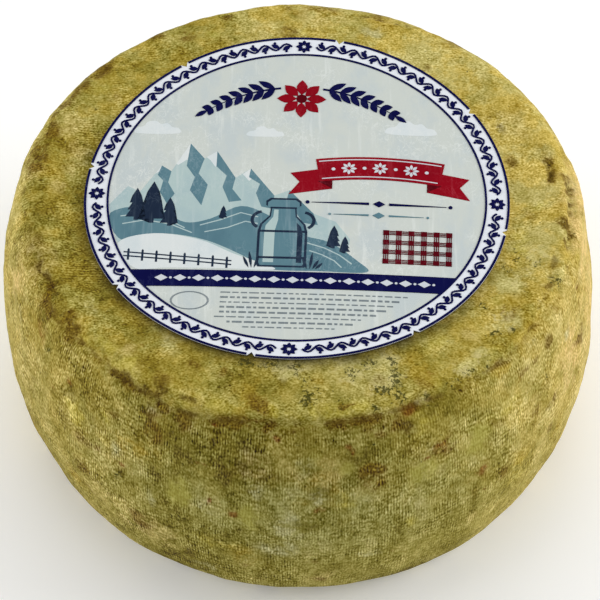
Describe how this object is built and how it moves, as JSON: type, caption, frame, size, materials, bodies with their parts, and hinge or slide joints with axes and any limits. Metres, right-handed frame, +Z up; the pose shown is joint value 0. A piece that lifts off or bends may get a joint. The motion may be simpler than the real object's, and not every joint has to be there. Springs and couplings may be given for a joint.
{
  "type": "goat cheese wheel",
  "caption": "Whole wheel of pressed goat's milk cheese: a barrel-sided disc with a mottled, cloth-marked rind and a round paper label on top.",
  "frame": {"origin": "middle of the flat base, on the surface that the wheel rests on", "axes": "+Z up through the label, -Y towards the front seen in the picture, +X to its right"},
  "size_m": [0.2395, 0.2409, 0.116],
  "materials": {
    "rind": "dry natural rind, olive-yellow and ochre, mottled, with the weave of the moulding cloth",
    "label_paper": "satin coated paper, printed in navy, slate blue and red"
  },
  "bodies": {
    "root": {"cheese_wheel": "rind", "paper_label": "label_paper"}
  },
  "joints": []
}
